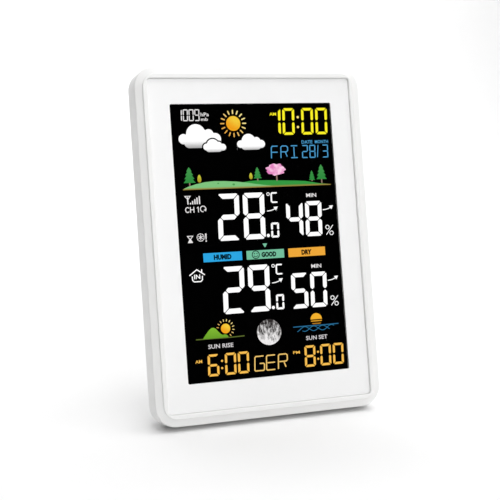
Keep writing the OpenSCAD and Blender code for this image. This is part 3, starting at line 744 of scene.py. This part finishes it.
BLACK = (0.0, 0.0, 0.0, 1)
big_cloud = [(-34.7, 138.8, 5.75), (-42.1, 136.2, 2.9), (-27.3, 138.6, 3.0), (-23.4, 136.0, 3.35),
             (-38.8, 134.2, 3.1), (-30.5, 136.5, 4.0), (-27.5, 134.4, 3.3)]
small_cloud = [(-25.3, 132.4, 3.55), (-29.0, 131.5, 1.95), (-21.8, 132.4, 1.95), (-19.4, 131.2, 1.95),
               (-27.5, 130.8, 2.2), (-21.8, 130.8, 2.2)]
far_cloud = [(-3.6, 134.4, 4.15), (-8.5, 132.7, 2.15), (1.3, 134.4, 2.25), (4.0, 132.6, 2.3),
             (-5.8, 132.0, 2.6), (1.5, 132.0, 2.6)]
envelope("lcd_cloud_big", big_cloud, (-38.8, -27.5, 131.1), 130.8, 135.8, rgb(168, 168, 168))
envelope("lcd_cloud_gap", small_cloud, (-27.5, -21.8, 128.6), 0, 1, BLACK, layer=4, grow=0.75, color=BLACK)
envelope("lcd_cloud_small", small_cloud, (-27.5, -21.8, 128.6), 128.4, 131.0, rgb(190, 190, 190), layer=8)
envelope("lcd_cloud_far", far_cloud, (-5.8, 1.5, 129.4), 129.0, 132.0, rgb(178, 178, 178))


def sun(name, cx, cy, radius, inner, outer, count, first, width, layer=0, arc=360.0):
    """Disc shaded from yellow to orange and its rays."""
    def shade(u, v):
        lit = 0.5 + 0.5 * ((u - cx) * 0.55 + (v - cy) * 0.83) / radius
        reach = hypot(u - cx, v - cy) / radius
        blend = smooth(0.1, 1.0, lit) * smooth(1.05, 0.2, reach * 0.6)
        return mix(rgb(240, 160, 28), rgb(244, 214, 66), blend)

    flat_disc(name, cx, cy, radius, shade, layer)
    rays = []
    for i in range(count):
        a = radians(first + arc * i / (count if arc >= 360 else count - 1))
        rays.append(stroke([(cx + inner * cos(a), cy + inner * sin(a)),
                            (cx + outer * cos(a), cy + outer * sin(a))], width))
    plate(name + "_rays", rays, ORANGE,
          shade=lambda u, v: mix(rgb(226, 160, 60), rgb(248, 232, 150),
                                 smooth(-1.2, 1.2, ((u - cx) * 0.7 + (v - cy) * 0.7) / outer)))


def flat_disc(name, cx, cy, radius, shade, layer=0, material=None, rings=9, steps=48):
    """Closed round plate with enough rings to carry its shading."""
    front = PLATE_Y_MM - layer * LAYER_MM
    bm = bmesh.new()
    uv = []

    def vert(u, v, depth):
        uv.append((u, v))
        return bm.verts.new(lcd_point(u, v, depth))

    sheets = []
    for depth in (front, front + PLATE_T_MM):
        centre = vert(cx, cy, depth)
        loops = [[vert(cx + radius * k / rings * cos(2 * pi * i / steps),
                       cy + radius * k / rings * sin(2 * pi * i / steps), depth) for i in range(steps)]
                 for k in range(1, rings + 1)]
        sheets.append((centre, loops))
    for s, (centre, loops) in enumerate(sheets):
        for i in range(steps):
            tri = (centre, loops[0][i - 1], loops[0][i])
            bm.faces.new(tri if s == 0 else tri[::-1])
            for k in range(rings - 1):
                quad = (loops[k][i - 1], loops[k + 1][i - 1], loops[k + 1][i], loops[k][i])
                bm.faces.new(quad if s == 0 else quad[::-1])
    near, far = sheets[0][1][-1], sheets[1][1][-1]
    for i in range(steps):
        bm.faces.new((near[i - 1], far[i - 1], far[i], near[i]))
    return finish_plate(name, bm, uv, shade, material)


sun("lcd_sun", -12.1, 144.6, 4.25, 5.7, 7.5, 16, 0.0, 0.72)
sun("lcd_sunrise_sun", -25.1, 29.2, 2.75, 4.15, 5.15, 11, -55.0, 0.4, arc=225.0)


def fir(cx, base, top, half, foot):
    """Fir tree's outline, three tiers."""
    h = top - base
    side = [(half, 0.0), (half * 0.56, 0.22), (half * 0.84, 0.25), (half * 0.42, 0.47), (half * 0.66, 0.50),
            (half * 0.28, 0.70), (half * 0.44, 0.73), (0.0, 1.0)]
    right_side = [(cx + x, base + h * y) for x, y in side]
    left_side = [(cx - x, base + h * y) for x, y in side[-2::-1]]
    trunk = stroke([(cx, base + 0.05), (cx, foot)], 0.75, cap=False)
    return round_corners(right_side + left_side, 0.06), trunk


firs = [fir(-40.3, 111.6, 120.5, 3.5, 109.9), fir(0.35, 112.9, 119.4, 2.5, 111.2),
        fir(34.0, 110.9, 116.5, 2.0, 110.3), fir(40.1, 111.2, 119.9, 3.3, 108.9)]
plate("lcd_firs", [f[0] for f in firs], rgb(52, 145, 66),
      shade=lambda u, v: mix(rgb(44, 138, 60), rgb(66, 150, 76), smooth(110, 120, v)), layer=2)
plate("lcd_trunks", [f[1] for f in firs] + [stroke([(12.1, 114.6), (12.1, 111.0)], 0.85, cap=False)],
      rgb(140, 116, 104))


def bush(cx, base, top, half):
    return [(cx + half * sin(a) * (1 + 0.25 * cos(a)), (base + top) / 2 - (top - base) / 2 * cos(a))
            for a in (2 * pi * i / 28 for i in range(28))]


plate("lcd_bushes", [bush(-34.5, 111.6, 116.0, 1.1), bush(-3.7, 112.5, 116.2, 0.95)], rgb(190, 190, 50),
      shade=lambda u, v: mix(rgb(168, 140, 34), rgb(204, 208, 62), smooth(111.5, 116.2, v)), layer=2)


def blossom():
    """Round-headed tree in bloom: a lumpy outline."""
    outline = []
    for i in range(72):
        a = 2 * pi * i / 72
        lump = 1 + 0.07 * sin(7 * a + 0.6) + 0.05 * sin(11 * a + 2.0)
        outline.append((11.7 + 5.75 * cos(a) * lump, 117.4 + (3.6 if sin(a) > 0 else 3.0) * sin(a) * lump))
    return outline


def blossom_glow():
    n = Nodes("lit_blossom")
    tex = n.add("ShaderNodeTexCoord").outputs["Object"]
    noise = n.add("ShaderNodeTexNoise", {"Vector": tex, "Scale": 420.0, "Detail": 3.0}).outputs[0]
    ramp = n.add("ShaderNodeValToRGB", {0: noise})
    stops = ramp.color_ramp.elements
    stops[0].position, stops[0].color = 0.36, rgb(226, 128, 190)
    stops[1].position, stops[1].color = 0.66, rgb(255, 206, 232)
    return n.finish(n.add("ShaderNodeEmission", {"Color": ramp.outputs[0], "Strength": 1.0}).outputs[0])


plate("lcd_blossom", [blossom()], rgb(248, 164, 212), layer=2, material=blossom_glow())


def hill(name, tops, low, color, layer):
    """Strip between a softly bent top line and a level lower line, brown along the bottom."""
    def top_at(u):
        for (u0, v0), (u1, v1) in zip(tops, tops[1:]):
            if u <= u1:
                t = (u - u0) / (u1 - u0)
                return v0 + (v1 - v0) * t * t * (3 - 2 * t) * 0.35 + (v1 - v0) * t * 0.65
        return tops[-1][1]

    steps = 80
    first, last = tops[0][0], tops[-1][0]
    places = [first + (last - first) * i / steps for i in range(steps + 1)]
    return sheet_pair(name, [(u, low, max(top_at(u), low + 0.03)) for u in places], 8, layer,
                      lambda u, v: mix(rgb(150, 128, 62), color, smooth(107.9, 108.9, v)))


near_tops = [(-44.5, 107.95), (-43.0, 108.9), (-40.0, 109.9), (-36.0, 110.9), (-31.0, 111.8), (-26.0, 112.15),
             (-20.0, 112.0), (-13.0, 111.5), (-6.0, 110.6), (0.0, 109.6), (5.0, 108.9), (9.6, 108.3)]
far_tops = [(-8.6, 111.0), (-4.5, 111.5), (0.0, 111.75), (7.0, 111.6), (15.0, 111.25), (23.0, 110.9),
            (29.0, 110.5), (34.0, 109.7), (38.0, 108.9), (45.6, 108.15)]
hill("lcd_hill_far", far_tops, 107.7, rgb(52, 152, 66), 0)
hill("lcd_hill_near", near_tops, 107.7, rgb(126, 196, 126), 1)
plate("lcd_hill_spots", [disc(-23.6, 110.8, 0.5, 0.35), disc(-14.4, 109.9, 0.75, 0.55)], rgb(70, 150, 76),
      layer=3)

# Sunrise hill, sea at sunset
plate("lcd_sunrise_hill", [round_corners([(-38.9, 24.3), (-36.7, 27.0), (-34.6, 29.3), (-33.3, 30.15),
                                          (-32.2, 30.2), (-30.8, 29.4), (-29.4, 27.7), (-28.2, 26.5),
                                          (-27.0, 25.8), (-25.7, 26.1), (-24.6, 25.7), (-23.4, 24.3)], 0.4)],
      rgb(118, 172, 46), layer=2,
      shade=lambda u, v: mix(rgb(104, 160, 42), rgb(128, 184, 52), smooth(24, 30, v)))
plate("lcd_sunrise_line", [stroke([(-42.6, 24.3), (-33.0, 24.2), (-24.0, 24.1), (-14.4, 24.25)], 0.6)],
      rgb(88, 104, 44))


def chord_band(cx, cy, r, low, high):
    """Part of a disc between two heights."""
    pts = []
    for k in range(13):
        v = low + (high - low) * k / 12
        pts.append((cx + sqrt(max(0.0, r * r - (v - cy) ** 2)), v))
    return pts + [(2 * cx - x, v) for x, v in reversed(pts) if x > cx + 1e-6]


plate("lcd_sunset_sun", [chord_band(30.4, 30.2, 3.55, 30.2, 33.74), chord_band(30.4, 30.2, 3.55, 28.95, 29.6),
                         chord_band(30.4, 30.2, 3.55, 27.45, 28.1)], ORANGE,
      shade=lambda u, v: mix(rgb(168, 110, 30), rgb(242, 176, 46), smooth(27, 31, v)))
waves = [stroke([(15.9, 26.7), (24.0, 26.75), (33.0, 26.65), (44.0, 26.75)], 0.55)]
for phase, u0, u1 in ((0.0, 18.2, 38.2), (pi, 21.4, 41.2)):
    pts = []
    for k in range(41):
        u = u0 + (u1 - u0) * k / 40
        pts.append((u, 25.1 + 1.35 * sin((u - 20.0) * 2 * pi / 11.2 + phase)))
    waves.append(stroke(pts, 0.36))
plate("lcd_sea", waves[:1], rgb(40, 104, 144))
plate("lcd_wave_one", waves[1:2], rgb(42, 112, 152), layer=1)
plate("lcd_wave_two", waves[2:], rgb(42, 112, 152), layer=2)


def moon_glow():
    """Grey disc with dark seas and bright rays."""
    n = Nodes("lit_moon")
    vector, xyz = case_coords(n)
    long = n.add("ShaderNodeVectorMath", {0: vector, 1: (1.0, 1.0, 0.38)}, operation="MULTIPLY").outputs[0]
    seas = n.add("ShaderNodeTexNoise", {
        "Vector": long, "Scale": 700.0, "Detail": 4.0, "Roughness": 0.75}).outputs[0]
    cells = n.add("ShaderNodeTexVoronoi", {"Vector": vector, "Scale": 700.0}).outputs[0]
    value = n.math("ADD", seas, n.math("MULTIPLY", cells, 0.12))
    fall = n.math("MULTIPLY", n.math("SUBTRACT", (VIEW_LOW_MM + 25.1) * MM, xyz[2]), 22.0)
    ramp = n.add("ShaderNodeValToRGB", {0: n.math("ADD", value, fall)})
    stops = ramp.color_ramp.elements
    stops[0].position, stops[0].color = 0.44, rgb(46, 42, 42)
    stops[1].position, stops[1].color = 0.70, rgb(240, 238, 238)
    return n.finish(n.add("ShaderNodeEmission", {"Color": ramp.outputs[0], "Strength": 1.0}).outputs[0])


flat_disc("lcd_moon", 0.8, 25.15, 7.35, lambda u, v: GREY_WHITE, material=moon_glow())

# ---------------------------------------------------------------- floor, backdrop, light
FLOOR_SIZE = 3.0


def studio_floor():
    n = Nodes("studio_floor")
    tex = n.add("ShaderNodeTexCoord").outputs["Object"]
    noise = n.add("ShaderNodeTexNoise", {"Vector": tex, "Scale": 3.0}).outputs[0]
    mixed = n.add("ShaderNodeMix", {0: noise, 6: (0.90, 0.90, 0.90, 1), 7: (0.92, 0.92, 0.92, 1)},
                  data_type="RGBA")
    bsdf = n.add("ShaderNodeBsdfPrincipled", {
        "Base Color": mixed.outputs[2], "Roughness": 0.9, "Specular IOR Level": 0.0})
    return n.finish(bsdf.outputs[0])


def add_floor():
    profile = [(-FLOOR_SIZE / 2, 0.0)]
    radius, wall_y = 0.4, FLOOR_SIZE / 2
    profile += [(wall_y - radius + radius * sin(a), radius - radius * cos(a))
                for a in (pi / 2 * k / 16 for k in range(17))]
    profile.append((wall_y, 2.0))
    bm = bmesh.new()
    lines = [[bm.verts.new((x, y, z)) for x in (-FLOOR_SIZE, FLOOR_SIZE)] for y, z in profile]
    for a, b in zip(lines, lines[1:]):
        bm.faces.new((a[0], a[1], b[1], b[0]))
    mesh = bpy.data.meshes.new("studio_floor")
    bm.to_mesh(mesh)
    bm.free()
    for face in mesh.polygons:
        face.use_smooth = True
    floor = bpy.data.objects.new("studio_floor", mesh)
    mesh.materials.append(studio_floor())
    scene.collection.objects.link(floor)
    floor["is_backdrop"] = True


add_floor()


def area_light(name, location, target, size, power):
    light = bpy.data.lights.new(name, "AREA")
    light.shape = "RECTANGLE"
    light.size, light.size_y = size
    light.energy = power
    holder = bpy.data.objects.new(name, light)
    holder.location = location
    direction = Vector(target) - Vector(location)
    holder.rotation_euler = direction.to_track_quat("-Z", "Y").to_euler()
    scene.collection.objects.link(holder)
    return holder


area_light("key_over", (0.22, -0.3, 1.25), (0.05, 0.0, 0.05), (1.8, 1.4), 17.6)
area_light("front_fill", (0.12, -1.5, 0.6), (0, 0, 0.1), (0.7, 0.9), 4.9)
area_light("back_wall", (0.2, 0.8, 1.3), (0.3, 1.5, 0.3), (2.2, 0.8), 17.0)
world = bpy.data.worlds.new("studio")
scene.world = world
world.use_nodes = True
sky = world.node_tree.nodes["Background"]
sky.inputs["Color"].default_value = (1, 1, 1, 1)
# The room is darker to the left, so the case's left side falls into soft shade
direction = world.node_tree.nodes.new("ShaderNodeTexCoord")
split = world.node_tree.nodes.new("ShaderNodeSeparateXYZ")
shade_range = world.node_tree.nodes.new("ShaderNodeMapRange")
for socket, value in ((1, -0.7), (2, 0.7), (3, 0.03), (4, 0.26)):
    shade_range.inputs[socket].default_value = value
world.node_tree.links.new(direction.outputs["Generated"], split.inputs[0])
world.node_tree.links.new(split.outputs[0], shade_range.inputs[0])
world.node_tree.links.new(shade_range.outputs[0], sky.inputs["Strength"])

low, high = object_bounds()
